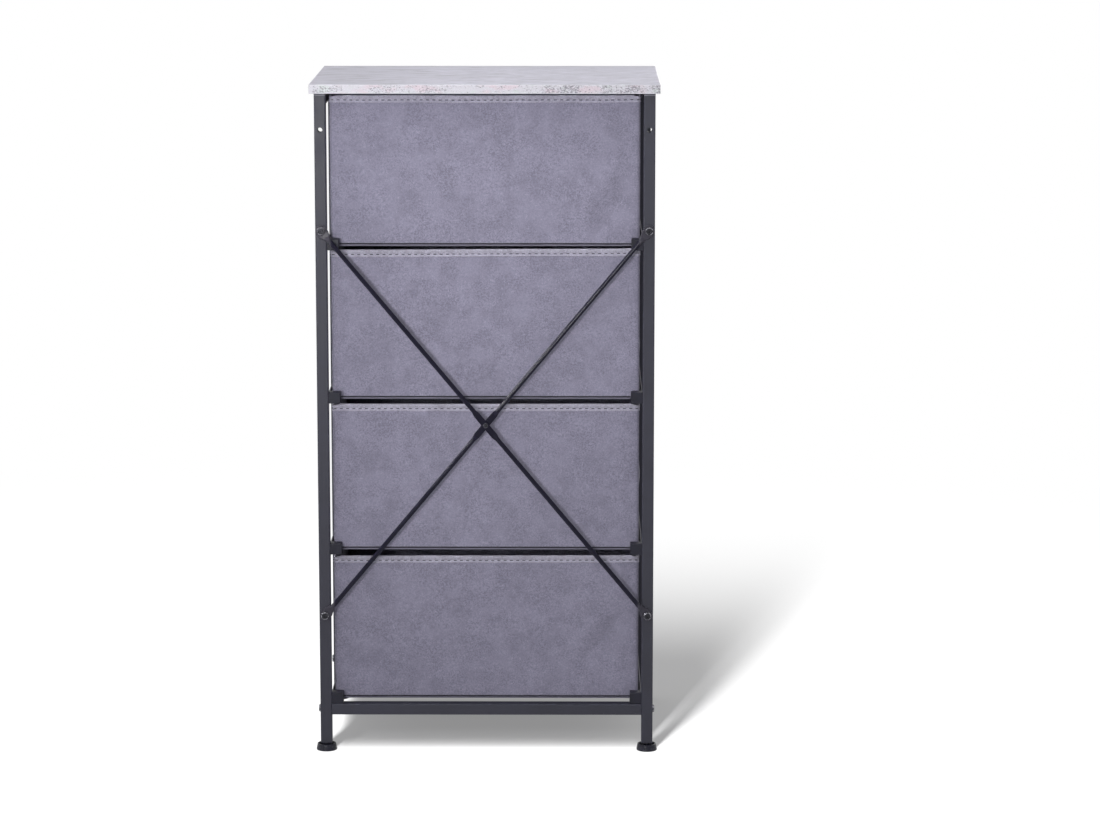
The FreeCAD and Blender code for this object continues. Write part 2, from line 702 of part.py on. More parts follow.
def make_foot(end, end_sign, side, side_sign):
    x, y = f"{side_sign} * {UPRIGHT_X}", f"{end_sign} * {UPRIGHT_Y}"
    name = f"foot_{end}_{side}"
    body = new_body(name)
    profile = new_sketch(body, "XZ_Plane")
    dish, rim = "foot_rise - foot_recess", "foot_rim - foot_rim_wall"
    add_polygon(profile, [
        ("0", "0"), ("foot_radius - foot_edge / 2", "0"), ("foot_radius", "foot_edge / 2"),
        ("foot_radius", "foot_edge"), ("foot_rim", "foot_rise"), (rim, "foot_rise"),
        (f"{rim} - foot_edge", dish), ("foot_hub", dish), ("foot_hub", "foot_rise"),
        ("stud_bore", "foot_rise"), ("stud_bore", "foot_floor"), ("0", "foot_floor")])
    turned = revolve(body, profile)
    rise = value("foot_rise")
    rim_radius = value("foot_rim")
    fillet(body, turned, lambda edge: edge.CenterOfMass.z > rise - TINY and edge.Closed
           and abs(edge.Curve.Radius - rim_radius) < TINY, "foot_rim_wall * 0.4")
    place(body, x, y, "0")
    keep(body, f"{name}_pad")

    stud = cylinder(f"{name}_thread", "stud_radius", "stud_top - foot_floor")
    place(stud, x, y, "foot_floor")
    keep(stud, f"{name}_stud")


# ---------------------------------------------------------------- assembly

make_top_board()
make_uprights()
make_side_top_bars()
make_crossbars()
make_frame_fittings()
make_brace()
for level, number in enumerate(DRAWERS):
    for side, sign in SIDES:
        make_rail(f"rail_{number}_{side}", sign, level)
        make_stop(f"rail_stop_{number}_{side}", sign, level)
    make_bin(number, level)
    make_drawer_boards(number, level)
    make_pull(number, level)
for end, end_sign in ENDS:
    for side, side_sign in SIDES:
        make_foot(end, end_sign, side, side_sign)
doc.recompute()

for item in doc.Objects:
    if "Invalid" in item.State or "Error" in item.State:
        raise RuntimeError(f"{item.Label} failed: {item.State}")
for item in parts:
    if item.Shape.isNull() or not item.Shape.isValid() or not item.Shape.Solids:
        raise RuntimeError(f"{item.Label} has no valid solid")

os.makedirs("parts", exist_ok=True)
for item in parts:
    item.Shape.exportStep(f"parts/{item.Label}.step")
    print(f"{item.Label}: {len(item.Shape.Solids)} solid(s), {item.Shape.Volume / 1000:.2f} cm3")
print(f"{len(parts)} sub-parts")
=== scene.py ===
import bisect
import math
import random
from collections import namedtuple

import bpy
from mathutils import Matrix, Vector, noise


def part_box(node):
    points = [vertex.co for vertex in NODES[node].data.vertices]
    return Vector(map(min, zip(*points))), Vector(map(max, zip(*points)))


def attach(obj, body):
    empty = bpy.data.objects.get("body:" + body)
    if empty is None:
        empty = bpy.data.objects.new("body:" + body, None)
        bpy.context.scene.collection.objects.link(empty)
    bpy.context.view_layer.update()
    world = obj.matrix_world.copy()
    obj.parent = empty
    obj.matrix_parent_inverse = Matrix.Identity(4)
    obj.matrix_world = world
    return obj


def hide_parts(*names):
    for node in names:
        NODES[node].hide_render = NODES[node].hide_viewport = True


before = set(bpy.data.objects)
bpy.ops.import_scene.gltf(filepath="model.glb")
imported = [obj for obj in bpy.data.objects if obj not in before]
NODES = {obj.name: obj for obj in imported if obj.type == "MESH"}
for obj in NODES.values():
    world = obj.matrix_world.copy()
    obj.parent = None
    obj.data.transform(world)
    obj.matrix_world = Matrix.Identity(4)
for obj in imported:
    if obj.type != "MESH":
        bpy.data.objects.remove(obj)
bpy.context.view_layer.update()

MM = 0.001
SCENE = bpy.context.scene
UP = Vector((0, 0, 1))
TINY = 1e-9
ENDS = ("front", "rear")
SIDES = ("left", "right")

# Drawer bins
DRAWERS = (1, 2, 3, 4)          # 1 is the top one
DRAWER_HALF = 200 * MM          # half of a bin's width, without the hem
WALL = 2.5 * MM                 # fabric with its stiff interlining
BIN_FLOOR = 1.6 * MM
CORNER = 4 * MM                 # rounding of the bin's upright corners
CORNER_STEPS = 6
SHELL_STEP = 4 * MM             # between its columns, and between its rows
INNER_STEP = 1.5 * SHELL_STEP   # between the rows inside
BASE_STRIP = 1.9 * MM           # the underside's fabric, turned up below the wall's seam
BASE_SEAM = 4.0 * MM            # top of the groove between that strip and the wall

# The foot of a bin's wall, from the underside over the strip: (out, height) in mm
SHELL_FOOT = ((-3.7, 0.5), (-2.4, 0.1), (-1.3, 0.0), (-0.75, 0.4), (-0.55, 1.1), (-0.6, 1.9),
              (-0.95, 2.5), (-1.35, 2.8), (-1.1, 3.1), (-0.45, 3.3), (-0.12, 3.8), (0.0, 4.8),
              (0.0, 6.2), (0.0, 8.0))

# Where the walls' folds die out
CORNER_FADE = 30 * MM           # they are whole at this distance from a corner
FOOT_FADE = (2 * MM, 28 * MM)   # and grow from nothing between these heights
RIM_ZONE = 45 * MM              # how far down the rim acts on the wall
HEM_HOLD = 0.75                 # share of the folds that the hem presses flat
BILLOWS = ((75 * MM, 1.0, 0), (24 * MM, 0.35, 9))   # size, share and seed of a wall's waves

# The rim
RIM_SAG = 0.6 * MM
SAG_SIZE = 90 * MM
SAG_FADE = 40 * MM              # from a corner
CORNER_DIP = 1.5 * MM
DIP_WIDTH = 3.5 * MM
RIM_EDGE = 5 * MM               # goes up and down with the rim as a whole

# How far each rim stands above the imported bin, in mm, at the left and the right of the rear view
RIM_LIFT = {1: (2.5, 2.8), 2: (2.9, 4.9), 3: (1.2, 1.5), 4: (-0.6, 0.2)}

# The hem
HEM_RISE = 10 * MM              # height of the folded band
SEAM_DROP = 6.3 * MM            # its seam, below the rim
HEM_RIDGE = 7.8 * MM            # where a highlight line is painted, below the rim
HEM_LIP = (7.2 * MM, 9.2 * MM)  # where its lower edge waves, below the rim
LIP_WAVE, WAVE_SIZE = 0.35 * MM, 17 * MM
HEM_PUFF, PUFF_SIZE = 0.1 * MM, 9 * MM
STITCH_PITCH = 8.2 * MM
STITCH_GAP = 3.6 * MM
STITCH_STAND = 0.2 * MM         # of the stitches, off the wall
THREAD = 0.36 * MM              # radius

# The hem outside the wall, from its lower edge up to the rim: (out, below the rim) in mm
HEM_PROFILE = ((-0.7, 9.7), (0.1, 9.65), (0.5, 9.4), (0.68, 8.9), (0.7, 8.3), (0.5, 7.4),
               (0.2, 6.8), (0.12, 6.3), (0.2, 5.8), (0.5, 4.9), (0.72, 3.7), (0.74, 2.5),
               (0.6, 1.3), (0.25, 0.5), (-0.4, 0.1))

# Sleeves over the stiff boards in the drawer fronts
SLEEVE_THICK = 0.8 * MM
SLEEVE_GAP = 0.35 * MM          # between board and fabric
SLEEVE_MARGIN = 2.4 * MM        # beside the board
SLEEVE_FOOT = 3.8 * MM          # above the bin's floor
SLEEVE_QUILT, QUILT_SIZE = 0.25 * MM, 60 * MM
SLEEVE_COLUMNS, SLEEVE_ROWS = 97, 45

# Pulls
PULL_END = 18 * MM              # sewn flat to the front
PULL_SLOPE = 14 * MM
PULL_THICK = 2 * MM
PULL_DROOP, DROOP_WIDTH = 0.9 * MM, 22 * MM
PULL_STEPS = 96                 # along the strap
PULL_RIBS = 11
RIB_STEPS = 4
RIB_RISE = 0.14 * MM
PULL_STITCHES = (2.6 * MM, 0.5 * MM, 0.28 * MM)     # pitch, gap and radius

# Fittings
THREAD_PITCH = 1 * MM           # of the levelling foot's stud
THREAD_DEPTH = 0.55 * MM
THREAD_SIDES = 24
THREAD_STEPS = 8                # rows to a pitch
BEAD = 1.3 * MM                 # radius of a weld bead
BEAD_STEP = 0.45 * MM
BEAD_RIPPLE = 1.4 * MM          # pitch of its ripples
SOFT_EDGE = 0.25 * MM           # bevel of boards and rails


# ---------------- numbers

def smooth(t):
    """0 below 0, 1 above 1, with a soft change between."""
    t = min(max(t, 0.0), 1.0)
    return t * t * (3 - 2 * t)


def ramp(value, low, high):
    return smooth((value - low) / (high - low))


def bell(t):
    return math.exp(-t * t)


def ripple(x, y, z, size, seed=0):
    """Smooth noise from about -1 to 1, with features of about that size."""
    shifted = (x / size + 17.3 * seed, y / size - 5.1 * seed, z / size + 3.7 * seed)
    return noise.noise(Vector(shifted))


def linear(red, green, blue):
    """A colour given as it looks on a screen, 0 to 255, as a shader wants it."""
    channels = []
    for value in (red, green, blue):
        level = value / 255
        channels.append(level / 12.92 if level < 0.04 else ((level + 0.055) / 1.055) ** 2.4)
    return (*channels, 1.0)


def tinted(colour, factor):
    return (*(channel * factor for channel in colour[:3]), 1.0)


# ---------------- meshes

Skin = namedtuple("Skin", "vertices faces run caps", defaults=((), ()))


def make_piece(name, made, material, body):
    """A mesh that rides on a body, made from a Skin.

    Its run gives each face's corners a place along and across the cloth. Its caps are flat faces.
    """
    mesh = bpy.data.meshes.new(name)
    mesh.from_pydata(made.vertices, [], made.faces)
    if made.run:
        layer = mesh.uv_layers.new(name="cloth")
        layer.data.foreach_set("uv", [value for corner in made.run for value in corner])
    shades = [index not in made.caps for index in range(len(made.faces))]
    mesh.polygons.foreach_set("use_smooth", shades)
    mesh.materials.append(material)
    mesh.update()
    piece = bpy.data.objects.new(name, mesh)
    SCENE.collection.objects.link(piece)
    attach(piece, body)
    return piece


def skin(rings, capped, along=(), across=()):
    """Faces between closed rings of points, each ring inside the last or above it.

    A capped skin gets a flat face at both ends, and another closes on itself. On cloth, along holds
    each point's place round the ring, with the whole length last, and across each ring's place.
    """
    count = len(rings[0])
    corners = []                # of each face, as (ring, point); point count is point 0 again
    for level in range(len(rings) - 1 if capped else len(rings)):
        upper = (level + 1) % len(rings)
        for index in range(count):
            corners.append(((level, index), (level, index + 1), (upper, index + 1), (upper, index)))
    caps = ()
    if capped:
        caps = (len(corners), len(corners) + 1)
        corners.append([(0, index) for index in reversed(range(count))])
        corners.append([(len(rings) - 1, index) for index in range(count)])
    faces = [[ring * count + index % count for ring, index in face] for face in corners]
    run = [(along[index], across[ring]) for face in corners for ring, index in face if along]
    return Skin([point for ring in rings for point in ring], faces, run, caps)


class Lengths:
    """Many short round lengths, such as stitches or weld beads, that make up one mesh."""

    AROUND = 6
    STITCH_STEPS = 5

    def __init__(self):
        self.vertices = []
        self.faces = []

    def add(self, centres, out, radii):
        """One length through the centres; out points away from the surface under it."""
        first = len(self.vertices)
        for index, (centre, radius) in enumerate(zip(centres, radii)):
            before = centres[max(index - 1, 0)]
            after = centres[min(index + 1, len(centres) - 1)]
            side = (after - before).cross(out).normalized()
            for step in range(self.AROUND):
                angle = 2 * math.pi * step / self.AROUND
                away = math.cos(angle) * side + math.sin(angle) * out
                self.vertices.append(centre + radius * away)
        last = len(self.vertices) - self.AROUND
        for ring in range(first, last, self.AROUND):
            upper = ring + self.AROUND
            for step in range(self.AROUND):
                following = (step + 1) % self.AROUND
                self.faces.append((ring + step, ring + following, upper + following, upper + step))
        self.faces.append(tuple(reversed(range(first, first + self.AROUND))))
        self.faces.append(tuple(range(last, last + self.AROUND)))

    def stitch(self, start, end, out, radius=THREAD):
        """A stitch that comes up at start and goes down at end."""
        centres, radii = [], []
        for step in range(self.STITCH_STEPS + 1):
            t = step / self.STITCH_STEPS
            arch = math.sin(math.pi * t)
            centres.append(start.lerp(end, t) + out * radius * (1.25 * arch - 0.75))
            radii.append(radius * (0.72 + 0.28 * arch))
        self.add(centres, out, radii)

    def seam(self, corners, out, pitch, gap, radius=THREAD):
        """Stitches along the straight lines between corners."""
        for start, end in zip(corners, corners[1:]):
            count = max(1, round((end - start).length / pitch))
            step = (end - start) / count
            inset = step.normalized() * gap / 2
            for index in range(count):
                place = start + step * index
                self.stitch(place + inset, place + step - inset, out, radius)

    def skin(self):
        return Skin(self.vertices, self.faces)


# ---------------- materials

class Paint:
    """A material, with short calls for the nodes that it is made of."""

    def __init__(self, name, roughness, metallic=0.0, sheen=0.0, specular=0.5):
        self.material = bpy.data.materials.new(name)
        self.material.use_nodes = True
        self.tree = self.material.node_tree
        self.shader = self.tree.nodes["Principled BSDF"]
        uniform = {"Roughness": roughness, "Metallic": metallic, "Sheen Weight": sheen,
                   "Sheen Roughness": 0.45, "Specular IOR Level": specular}
        for key, value in uniform.items():
            self.shader.inputs[key].default_value = value
        coordinates = self.add("ShaderNodeTexCoord").outputs
        self.place, self.normal = coordinates["Object"], coordinates["Normal"]

    def put(self, value, socket):
        if isinstance(value, bpy.types.NodeSocket):
            self.tree.links.new(value, socket)
        else:
            socket.default_value = value

    def add(self, kind, inputs=None, **settings):
        node = self.tree.nodes.new(kind)
        for key, value in settings.items():
            setattr(node, key, value)
        for key, value in (inputs or {}).items():
            self.put(value, node.inputs[key])
        return node

    def noise(self, size, detail=2.0, rough=0.5, stretch=(1, 1, 1), offset=0.0):
        """Noise with features of that size, drawn out along the axes by stretch."""
        scale = [1 / (size * amount) for amount in stretch]
        mapping = self.add("ShaderNodeMapping", {"Vector": self.place, "Scale": scale,
                                                 "Location": (offset, offset, offset)})
        texture = self.add("ShaderNodeTexNoise", {"Vector": mapping.outputs["Vector"], "Scale": 1.0,
                                                  "Detail": detail, "Roughness": rough})
        return texture.outputs["Fac"]

    def waves(self, scale, distortion, direction):
        texture = self.add("ShaderNodeTexWave", {"Vector": self.place, "Scale": scale,
                                                 "Distortion": distortion},
                           wave_type="BANDS", bands_direction=direction)
        return texture.outputs["Fac"]

    def math(self, operation, first, second=0.0):
        return self.add("ShaderNodeMath", {0: first, 1: second}, operation=operation).outputs[0]

    def times(self, first, second):
        return self.math("MULTIPLY", first, second)

    def away(self, value, middle):
        return self.math("ABSOLUTE", self.math("SUBTRACT", value, middle))

    def span(self, value, low, high, bottom=0.0, top=1.0):
        """value from low to high, as a soft change from bottom to top."""
        node = self.add("ShaderNodeMapRange", {"Value": value, "From Min": low, "From Max": high,
                                               "To Min": bottom, "To Max": top},
                        interpolation_type="SMOOTHSTEP")
        return node.outputs["Result"]

    def mix(self, amount, first, second, share=1.0):
        """first where amount is 0, and second where it is 1, but no more of it than its share."""
        if share < 1:
            amount = self.times(amount, share)
        node = self.add("ShaderNodeMix", data_type="RGBA")
        colours = [socket for socket in node.inputs if socket.type == "RGBA"]
        for value, socket in zip((amount, first, second), (node.inputs[0], *colours)):
            self.put(value, socket)
        return next(socket for socket in node.outputs if socket.type == "RGBA")

    def parts(self, vector):
        return self.add("ShaderNodeSeparateXYZ", {"Vector": vector}).outputs

    def cloth(self):
        """The place along and across the cloth, as make_piece's run has it."""
        return self.parts(self.add("ShaderNodeUVMap", uv_map="cloth").outputs["UV"])

    def rounded(self):
        """1 on rounded edges, where the surface faces none of the three axes, and 0 on flats."""
        normal = self.parts(self.normal)
        largest = self.math("ABSOLUTE", normal[0])
        for axis in (1, 2):
            largest = self.math("MAXIMUM", largest, self.math("ABSOLUTE", normal[axis]))
        return self.span(largest, 0.995, 0.9)

    def bump(self, *layers):
        """layers are (height, depth in metres), the coarsest first."""
        normal = None
        for height, depth in layers:
            inputs = {"Height": height, "Distance": depth, "Strength": 1.0}
            if normal:
                inputs["Normal"] = normal
            normal = self.add("ShaderNodeBump", inputs).outputs["Normal"]
        self.put(normal, self.shader.inputs["Normal"])

    def finish(self, colour, roughness=None):
        self.put(colour, self.shader.inputs["Base Color"])
        if roughness:
            self.put(roughness, self.shader.inputs["Roughness"])
        return self.material


FABRIC = linear(138, 135, 155)
# The hem's cloth: the wall's fabric painted lighter, as if better lit.
HEM_CLOTH_PAINTED_LIT = linear(162, 159, 175)


def felt(paint, colour):
    """The colour and the heights of the drawer fabric: heather, curled fibres and soft clouds."""
    heather = paint.noise(2.3 * MM, detail=4, rough=0.72)
    fleck = paint.noise(0.55 * MM, detail=2, rough=0.6, stretch=(2.6, 2.6, 0.8))
    strand = paint.noise(0.5 * MM, detail=2, rough=0.6, stretch=(0.8, 0.8, 3.0), offset=4.0)
    cloud = paint.noise(24 * MM, detail=3, rough=0.55)
    rubbed = paint.span(paint.noise(34 * MM, detail=3, rough=0.6, offset=31.0), 0.4, 0.6, 0.45, 1.0)
    shade = paint.span(heather, 0.35, 0.65, -0.9, 0.9)
    for fine in (fleck, strand):
        shade = paint.math("ADD", shade, paint.span(fine, 0.3, 0.7, -0.6, 0.6))
    shade = paint.times(shade, rubbed)
    shade = paint.math("ADD", shade, paint.span(cloud, 0.3, 0.7, -0.42, 0.42))
    tone = paint.mix(paint.span(shade, -1.5, 1.5), tinted(colour, 0.74), tinted(colour, 1.26))
    from_curl = paint.away(paint.noise(2.6 * MM, detail=2, rough=0.5, offset=11.0), 0.5)
    patchy = paint.span(paint.noise(6 * MM, detail=2, offset=21.0), 0.45, 0.65)
    curled = paint.times(paint.span(from_curl, 0.035, 0.0), patchy)
    tone = paint.mix(curled, tone, tinted(colour, 1.6), share=0.8)
    return tone, paint.math("ADD", fleck, strand), heather


def finish_felt(paint, colour, fibre, heather, *coarser):
    """coarser are bump layers that lie under the felt's own."""
    paint.bump(*coarser, (heather, 0.22 * MM), (fibre, 0.12 * MM))
    return paint.finish(colour, paint.span(heather, 0.2, 0.8, 0.84, 0.96))


def drawer_fabric():
    """Felt, with painted shade on the base strip and darker painted shade in the groove above it."""
    paint = Paint("drawer_fabric", roughness=0.9, sheen=0.1)
    tone, fibre, heather = felt(paint, FABRIC)
    height = paint.cloth()[1]
    # Painted shade: the groove above the base strip is painted near black, and the strip below it
    # darker.
    painted_shade_below_wall = paint.span(height, BASE_SEAM + 0.2 * MM, BASE_SEAM - 0.2 * MM)
    strip = paint.span(height, BASE_STRIP + 0.2 * MM, BASE_STRIP - 0.2 * MM)
    turned = paint.mix(strip, tinted(FABRIC, 0.05), tinted(FABRIC, 0.75))
    shaded = paint.mix(painted_shade_below_wall, tone, turned, share=0.95)
    waves = paint.noise(8 * MM, detail=2)
    return finish_felt(paint, shaded, fibre, heather, (waves, 0.15 * MM))


def sleeve_fabric():
    paint = Paint("drawer_sleeve_fabric", roughness=0.9, sheen=0.1)
    return finish_felt(paint, *felt(paint, tinted(FABRIC, 0.95)))


def hem_fabric():
    """The folded hem: the same fabric in layers, painted lighter as if better lit, with painted shade
    in needle holes and the seam's pucker, and a painted highlight on its ridge.
    """
    paint = Paint("drawer_hem_fabric", roughness=0.9, sheen=0.1)
    tone, fibre, heather = felt(paint, HEM_CLOTH_PAINTED_LIT)
    along, below_rim, _ = paint.cloth()
    phase = paint.math("FRACT", paint.math("DIVIDE", along, STITCH_PITCH))
    to_hole = paint.math("MINIMUM", phase, paint.math("SUBTRACT", 1.0, phase))
    from_seam = paint.away(below_rim, SEAM_DROP)
    # Painted shade in each needle hole.
    shaded_needle_hole = paint.times(paint.span(to_hole, 0.26, 0.19), paint.span(from_seam, 0.56 * MM, 0.32 * MM))
    # Painted shade along the seam's pucker, and a painted highlight along the ridge.
    pucker = paint.span(from_seam, 2.2 * MM, 0.0)
    painted_ridge_highlight = paint.span(paint.away(below_rim, HEM_RIDGE), 0.8 * MM, 0.4 * MM)
    shaded = paint.mix(pucker, tone, tinted(FABRIC, 0.55), share=0.08)
    shaded = paint.mix(painted_ridge_highlight, shaded, tinted(FABRIC, 2.0), share=0.35)
    holed = paint.mix(shaded_needle_hole, shaded, linear(30, 29, 38), share=0.9)
    dent = paint.math("SUBTRACT", 1.0, shaded_needle_hole)
    gather = paint.math("COSINE", paint.times(phase, 2 * math.pi))
    gather = paint.times(paint.times(pucker, gather), -1.0)
    return finish_felt(paint, holed, fibre, heather, (dent, 0.3 * MM), (gather, 0.12 * MM))


def sewing_thread():
    paint = Paint("sewing_thread", roughness=0.6, sheen=0.3)
    twist = paint.waves(900.0, 1.0, "DIAGONAL")
    paint.bump((twist, 0.06 * MM))
    return paint.finish(paint.mix(twist, linear(160, 158, 174), linear(206, 204, 220)))


def pull_webbing():
    """Woven strap: ribs along its length, crossed by fine weft."""
    paint = Paint("pull_webbing", roughness=0.75, sheen=0.2)
    weave = paint.times(paint.waves(190.0, 0.6, "X"), paint.waves(260.0, 0.4, "Z"))
    worn = paint.noise(3 * MM, detail=3)
    level = paint.math("ADD", paint.times(weave, 0.7), paint.span(worn, 0.3, 0.7, 0.0, 0.3))
    paint.bump((weave, 0.25 * MM), (worn, 0.1 * MM))
    tone = paint.mix(level, linear(46, 46, 52), linear(96, 95, 104))
    return paint.finish(tone, paint.span(weave, 0.0, 1.0, 0.85, 0.65))


def powder_coat(name, colour, roughness, peel, specular, cut_edge=None, pressed=None):
    """Satin powder coat: orange peel, faint dust, and rounded edges painted lighter, partly as rubbed
    wear and partly as a painted highlight.

    cut_edge is the height of a tube's cut end, along which a pale line is painted as a highlight.
    Further from the middle than pressed, the steel is flattened and its paint dull and grey.
    """
    paint = Paint(name, roughness=roughness, specular=specular)
    grain = paint.noise(0.8 * MM, detail=2, rough=0.55)
    fine = paint.noise(0.25 * MM, detail=2)
    haze = paint.noise(38 * MM, detail=4, rough=0.6)
    # Rounded edges painted lighter: partly rubbed wear, partly a painted highlight.
    rub_and_edge_highlight = paint.times(paint.rounded(), paint.span(paint.noise(5 * MM, detail=4), 0.35, 0.75))
    tone = paint.mix(paint.span(grain, 0.25, 0.75), tinted(colour, 0.86), tinted(colour, 1.14))
    dusty = paint.mix(paint.span(haze, 0.35, 0.75, 0.0, 0.25), tone, tinted(colour, 1.8))
    rubbed = paint.mix(rub_and_edge_highlight, dusty, tinted(colour, 3.0), share=0.45)
    if cut_edge:
        # Painted highlight: a pale line just below the tube's cut end.
        from_cut = paint.math("SUBTRACT", cut_edge, paint.parts(paint.place)[2])
        painted_cut_highlight = paint.span(from_cut, 1.3 * MM, 0.7 * MM)
        rubbed = paint.mix(painted_cut_highlight, rubbed, linear(150, 150, 160), share=0.75)
    gloss = paint.span(haze, 0.3, 0.7, roughness - 0.06, roughness + 0.08)
    if pressed:
        from_middle = paint.math("ABSOLUTE", paint.parts(paint.place)[0])
        in_press = paint.span(from_middle, pressed - 3 * MM, pressed)
        gloss = paint.math("ADD", gloss, paint.times(in_press, 0.2))
        rubbed = paint.mix(in_press, rubbed, linear(71, 69, 78), share=0.8)
    paint.bump((grain, peel), (fine, peel * 0.25))
    return paint.finish(rubbed, gloss)


def moulded_plastic():
    paint = Paint("moulded_black_plastic", roughness=0.4, specular=0.22)
    grain = paint.noise(0.35 * MM, detail=2)
    flow = paint.noise(12 * MM, detail=3, stretch=(1, 1, 2.5))
    # Rounded edges painted lighter: partly scuffs, partly a painted highlight.
    scuff_and_edge_highlight = paint.times(paint.rounded(), paint.span(paint.noise(2.5 * MM, detail=3), 0.4, 0.8))
    base = linear(23, 23, 36)
    tone = paint.mix(paint.span(flow, 0.3, 0.7), tinted(base, 0.85), tinted(base, 1.2))
    worn = paint.mix(scuff_and_edge_highlight, tone, linear(92, 92, 98), share=0.4)
    paint.bump((grain, 0.04 * MM))
    return paint.finish(worn, paint.span(flow, 0.3, 0.7, 0.32, 0.48))


def black_oxide(name, worn):
    """Turned and blackened steel, its rounded edges painted toward that colour: partly wear, partly a
    painted highlight.
    """
    paint = Paint(name, roughness=0.3, metallic=0.8)
    turned = paint.noise(0.5 * MM, detail=3, stretch=(3, 0.5, 3))
    patchy = paint.span(paint.noise(1.5 * MM, detail=3), 0.35, 0.7)
    tone = paint.mix(paint.span(turned, 0.3, 0.7), linear(30, 30, 34), linear(44, 44, 50))
    # Rounded edges painted toward worn: partly wear, partly a painted highlight.
    edge = paint.mix(paint.times(paint.rounded(), patchy), tone, worn, share=0.75)
    paint.bump((turned, 0.02 * MM))
    return paint.finish(edge, paint.span(turned, 0.3, 0.7, 0.22, 0.36))


def zinc_plate():
    paint = Paint("zinc_plated_steel", roughness=0.32, metallic=1.0)
    cells = paint.add("ShaderNodeTexVoronoi", {"Vector": paint.place, "Scale": 700.0})
    spangle = paint.span(cells.outputs["Distance"], 0.1, 0.8)
    haze = paint.noise(4 * MM, detail=3)
    tone = paint.mix(spangle, linear(176, 178, 180), linear(206, 208, 212))
    dull = paint.mix(paint.span(haze, 0.4, 0.8, 0.0, 0.5), tone, linear(140, 140, 136))
    paint.bump((haze, 0.03 * MM))
    return paint.finish(dull, paint.span(haze, 0.3, 0.7, 0.25, 0.42))


def hardboard():
    """Pressed wood fibre, with darker chips and short pale fibres."""
    paint = Paint("pressed_hardboard", roughness=0.7)
    fibre = paint.noise(1.2 * MM, detail=4, rough=0.65, stretch=(4, 1, 1))
    cross = paint.noise(1.2 * MM, detail=4, rough=0.65, stretch=(1, 4, 4), offset=7.0)
    chip = paint.noise(3.5 * MM, detail=2)
    tone = paint.mix(paint.span(fibre, 0.3, 0.7), linear(150, 118, 84), linear(182, 150, 112))
    pale = paint.mix(paint.span(cross, 0.55, 0.75, 0.0, 0.6), tone, linear(202, 176, 140))
    dark = paint.mix(paint.span(chip, 0.62, 0.72, 0.0, 0.6), pale, linear(112, 82, 54))
    paint.bump((cross, 0.08 * MM), (fibre, 0.08 * MM))
    return paint.finish(dark, paint.span(fibre, 0.3, 0.7, 0.6, 0.8))


def stone_face(paint, streak, speck):
    """Pale grey stone, streaked along the board; painted shade darkens it to the front, and a darker
    print with painted shade to one end.
    """
    cloud = paint.noise(42 * MM, detail=3, rough=0.5, stretch=(1.6, 1, 1), offset=2.0)
    stain = paint.noise(15 * MM, detail=4, rough=0.6, stretch=(2.4, 1, 1), offset=6.0)
    x_place, y_place, _ = paint.parts(paint.place)
    base = linear(203, 201, 216)
    tone = paint.mix(paint.span(streak, 0.3, 0.7), tinted(base, 0.78), tinted(base, 1.14))
    tone = paint.mix(paint.span(cloud, 0.35, 0.7, 0.0, 0.7), tone, tinted(base, 0.86))
    # Darker to one end: partly print, partly painted shade. Darker to the front: painted shade.
    left_print_and_shade = paint.span(x_place, 20 * MM, 200 * MM)
    painted_shade_front = paint.span(y_place, -70 * MM, -150 * MM)
    for more, share in ((left_print_and_shade, 0.95), (painted_shade_front, 0.6)):
        tone = paint.mix(more, tone, tinted(base, 0.76), share)
    stained = paint.math("ADD", stain, paint.times(left_print_and_shade, 0.06))
    tone = paint.mix(paint.span(stained, 0.5, 0.78, 0.0, 0.7), tone, linear(146, 144, 154))
    return paint.mix(paint.span(speck, 0.6, 0.75, 0.0, 0.35), tone, linear(150, 148, 158))


def stone_band(paint, fleck, low, high):
    """The speckled band on the board's edges, between the heights low and high, with painted
    highlight lines along its lower and upper edges.
    """
    x_place, _, z_place = paint.parts(paint.place)
    patch = paint.noise(15 * MM, detail=2, stretch=(1.6, 1.6, 1), offset=5.0)
    band = paint.mix(paint.span(patch, 0.36, 0.5), linear(207, 194, 204), linear(203, 201, 210))
    band = paint.mix(paint.span(patch, 0.54, 0.68), band, linear(198, 203, 205))
    cluster = paint.noise(22 * MM, detail=2, offset=14.0)
    more = paint.math("ADD", paint.span(x_place, -50 * MM, -95 * MM, 0.0, 0.05),
                      paint.span(cluster, 0.42, 0.62, -0.04, 0.05))
    flecked = paint.span(paint.math("ADD", fleck, more), 0.54, 0.64, 0.0, 0.8)
    band = paint.mix(flecked, band, linear(104, 100, 112))
    pale = paint.noise(1.5 * MM, detail=3, rough=0.7, offset=3.0)
    band = paint.mix(paint.span(pale, 0.55, 0.66, 0.0, 0.7), band, linear(234, 232, 240))
    # Painted highlights: pale lines along the band's lower and upper edges.
    rim = paint.math("MAXIMUM", paint.span(z_place, low + 1.5 * MM, low + 0.9 * MM),
                     paint.span(z_place, high - 1.3 * MM, high - 0.7 * MM))
    return paint.mix(rim, band, linear(222, 222, 230), share=0.7)


def stone_laminate(low, high):
    paint = Paint("stone_laminate", roughness=0.5)
    streak = paint.noise(11 * MM, detail=6, rough=0.62, stretch=(2.2, 1, 1))
    speck = paint.noise(1.3 * MM, detail=2, rough=0.6)
    fleck = paint.noise(1.7 * MM, detail=4, rough=0.7, stretch=(1.7, 1.7, 1), offset=9.0)
    on_edge = paint.span(paint.math("ABSOLUTE", paint.parts(paint.normal)[2]), 0.9, 0.6)
    face, band = stone_face(paint, streak, speck), stone_band(paint, fleck, low, high)
    paint.bump((streak, 0.02 * MM), (fleck, 0.03 * MM))
    return paint.finish(paint.mix(on_edge, face, band), paint.span(speck, 0.3, 0.7, 0.42, 0.55))


